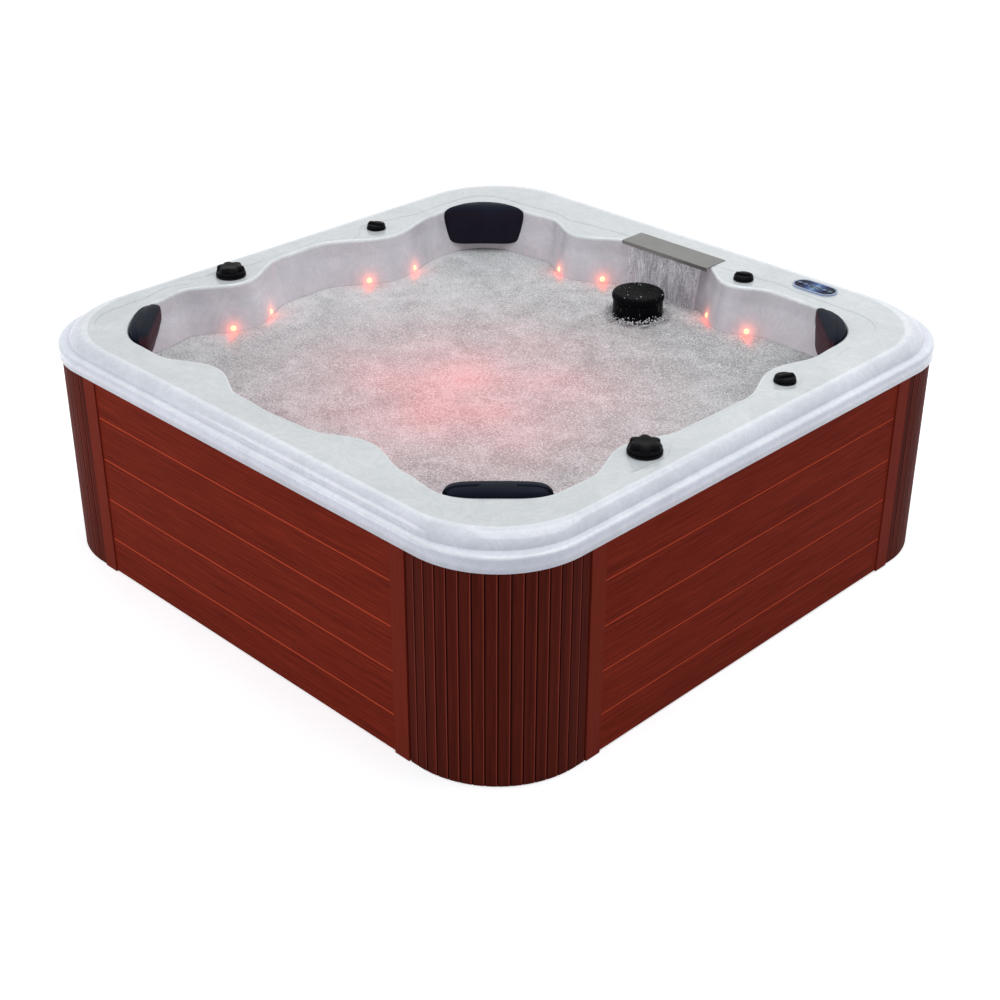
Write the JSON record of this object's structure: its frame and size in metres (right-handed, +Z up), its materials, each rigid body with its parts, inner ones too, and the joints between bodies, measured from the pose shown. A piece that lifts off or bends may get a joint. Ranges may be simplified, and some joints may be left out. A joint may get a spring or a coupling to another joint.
{
  "type": "hot tub",
  "caption": "Square acrylic hot tub in a wood-board skirt, with rounded corners, corner seats and pillows, a footwell, a waterfall, a standing filter, rim knobs, control panel and wall lights.",
  "frame": {"origin": "middle of the footprint, on the floor", "axes": "+Z up; +Y towards the side with the waterfall and filter; +X towards the right-hand side when facing the waterfall"},
  "size_m": [2.098, 2.098, 0.7783],
  "materials": {
    "tray": "black moulded tray",
    "frame_steel": "galvanised square tube",
    "foam": "rigid closed-cell foam",
    "skirt_boards": "mahogany stain with fine level grain, satin",
    "corner_panels": "darker mahogany stain with upright grain, satin",
    "trim_strips": "plain lighter red-brown, satin",
    "acrylic": "glossy white acrylic with faint grey marble",
    "pillows": "black satin foam skin",
    "waterfall_steel": "brushed stainless steel, folded bright edge",
    "knob_black": "gloss black",
    "inner_plastic": "plain moulded plastic",
    "panel_bezel": "pale moulded bezel",
    "panel_fascia": "navy and black with a light-blue middle",
    "panel_display": "black display window",
    "panel_buttons": "black soft buttons with plain icons",
    "led_lens": "clear lens over a warm red light",
    "light_lens": "frosted lens over a pink-red light",
    "filter_black": "gloss black, wet",
    "filter_paper": "white pleated filter paper",
    "jet_body": "grey jet body",
    "jet_face": "bright jet face",
    "suction_white": "white moulded fitting",
    "pump_black": "black pump case",
    "pump_motor": "dark painted motor case",
    "rotor_steel": "steel shaft, rotor core and impeller",
    "heater_steel": "stainless heater tube",
    "control_box": "grey control box",
    "pipes": "white plastic pipe"
  },
  "bodies": {
    "tub": {"base_tray": "tray", "base_frame": "frame_steel", "frame_posts": "frame_steel", "top_rail": "frame_steel", "footwell_blocks": "foam", "side_boards_front": "skirt_boards", "side_boards_right": "skirt_boards", "side_boards_back": "skirt_boards", "side_boards_left": "skirt_boards", "corner_panel_front_right": "corner_panels", "corner_panel_back_right": "corner_panels", "corner_panel_back_left": "corner_panels", "corner_panel_front_left": "corner_panels", "trim_strips": "trim_strips", "insulation_panels": "foam", "acrylic_shell": "acrylic", "pillow_front_right": "pillows", "pillow_back_right": "pillows", "pillow_back_left": "pillows", "pillow_front_left": "pillows", "pillow_pins": "inner_plastic", "waterfall_plate": "waterfall_steel", "waterfall_body": "inner_plastic", "diverter_valves": "knob_black", "air_valves": "knob_black", "control_panel_housing": "panel_bezel", "control_panel_fascia": "panel_fascia", "control_panel_display": "panel_display", "led_lenses": "led_lens", "light_housings": "inner_plastic", "light_lens": "light_lens", "filter_fitting": "inner_plastic", "filter_cage": "filter_black", "jet_bodies": "jet_body", "jet_nozzles": "jet_face", "suction_fittings": "suction_white", "drain_fitting": "suction_white", "pump_wet_ends": "pump_black", "pump_motors": "pump_motor", "heater_tube": "heater_steel", "control_box": "control_box", "spa_pipes": "pipes"},
    "diverter_left": {"diverter_knob_left": "knob_black"},
    "diverter_right": {"diverter_knob_right": "knob_black"},
    "air_left": {"air_knob_left": "knob_black"},
    "air_right": {"air_knob_right": "knob_black"},
    "air_back": {"air_knob_back": "knob_black"},
    "button_1": {"control_button_1": "panel_buttons"},
    "button_2": {"control_button_2": "panel_buttons"},
    "button_3": {"control_button_3": "panel_buttons"},
    "button_4": {"control_button_4": "panel_buttons"},
    "filter_insert": {"filter_cartridge": "filter_paper"},
    "filter_top": {"filter_cap": "filter_black"},
    "jet_front_right": {"rotary_jet_front_right": "jet_face"},
    "jet_back_right": {"rotary_jet_back_right": "jet_face"},
    "jet_back_left": {"rotary_jet_back_left": "jet_face"},
    "jet_front_left": {"rotary_jet_front_left": "jet_face"},
    "rotor_right": {"pump_rotor_right": "rotor_steel"},
    "rotor_left": {"pump_rotor_left": "rotor_steel"},
    "drain_stopper": {"drain_cap": "suction_white"}
  },
  "joints": [
    {"name": "turn_diverter_left", "type": "hinge", "parent": "tub", "child": "diverter_left", "pos_m": [-0.89, -0.349, 0.76], "axis": [0, 0, 1], "range_deg": [-90, 90]},
    {"name": "turn_diverter_right", "type": "hinge", "parent": "tub", "child": "diverter_right", "pos_m": [0.893, -0.338, 0.76], "axis": [0, 0, 1], "range_deg": [-90, 90]},
    {"name": "turn_air_left", "type": "hinge", "parent": "tub", "child": "air_left", "pos_m": [-0.882, 0.284, 0.755], "axis": [0, 0, 1], "range_deg": [0, 180]},
    {"name": "turn_air_right", "type": "hinge", "parent": "tub", "child": "air_right", "pos_m": [0.892, 0.285, 0.755], "axis": [0, 0, 1], "range_deg": [0, 180]},
    {"name": "turn_air_back", "type": "hinge", "parent": "tub", "child": "air_back", "pos_m": [0.326, 0.823, 0.755], "axis": [0, 0, 1], "range_deg": [0, 180]},
    {"name": "press_button_1", "type": "slide", "parent": "tub", "child": "button_1", "axis": [0, 0, -1], "range_m": [0, 0.001], "stiffness_N_per_m": 1500},
    {"name": "press_button_2", "type": "slide", "parent": "tub", "child": "button_2", "axis": [0, 0, -1], "range_m": [0, 0.001], "stiffness_N_per_m": 1500},
    {"name": "press_button_3", "type": "slide", "parent": "tub", "child": "button_3", "axis": [0, 0, -1], "range_m": [0, 0.001], "stiffness_N_per_m": 1500},
    {"name": "press_button_4", "type": "slide", "parent": "tub", "child": "button_4", "axis": [0, 0, -1], "range_m": [0, 0.001], "stiffness_N_per_m": 1500},
    {"name": "lift_filter_insert", "type": "slide", "parent": "tub", "child": "filter_insert", "axis": [0, 0, 1], "range_m": [0, 0.35]},
    {"name": "turn_filter_cap", "type": "hinge", "parent": "filter_insert", "child": "filter_top", "pos_m": [0.037, 0.635, 0.66], "axis": [0, 0, 1], "range_deg": [0, 45]},
    {"name": "spin_jet_front_right", "type": "hinge", "parent": "tub", "child": "jet_front_right", "pos_m": [0.77867, -0.77867, 0.5], "axis": [0.7071, -0.7071, 0], "continuous": true},
    {"name": "spin_jet_back_right", "type": "hinge", "parent": "tub", "child": "jet_back_right", "pos_m": [0.74934, 0.71276, 0.5], "axis": [0.7071, 0.7071, 0], "continuous": true},
    {"name": "spin_jet_back_left", "type": "hinge", "parent": "tub", "child": "jet_back_left", "pos_m": [-0.75915, 0.69645, 0.5], "axis": [-0.7071, 0.7071, 0], "continuous": true},
    {"name": "spin_jet_front_left", "type": "hinge", "parent": "tub", "child": "jet_front_left", "pos_m": [-0.78507, -0.78507, 0.5], "axis": [-0.7071, -0.7071, 0], "continuous": true},
    {"name": "spin_pump_right", "type": "hinge", "parent": "tub", "child": "rotor_right", "pos_m": [0.48, 0.84, 0.2], "axis": [1, 0, 0], "continuous": true},
    {"name": "spin_pump_left", "type": "hinge", "parent": "tub", "child": "rotor_left", "pos_m": [-0.48, 0.84, 0.2], "axis": [1, 0, 0], "continuous": true},
    {"name": "take_off_drain_cap", "type": "slide", "parent": "tub", "child": "drain_stopper", "axis": [-1, 0, 0], "range_m": [0, 0.06]}
  ]
}
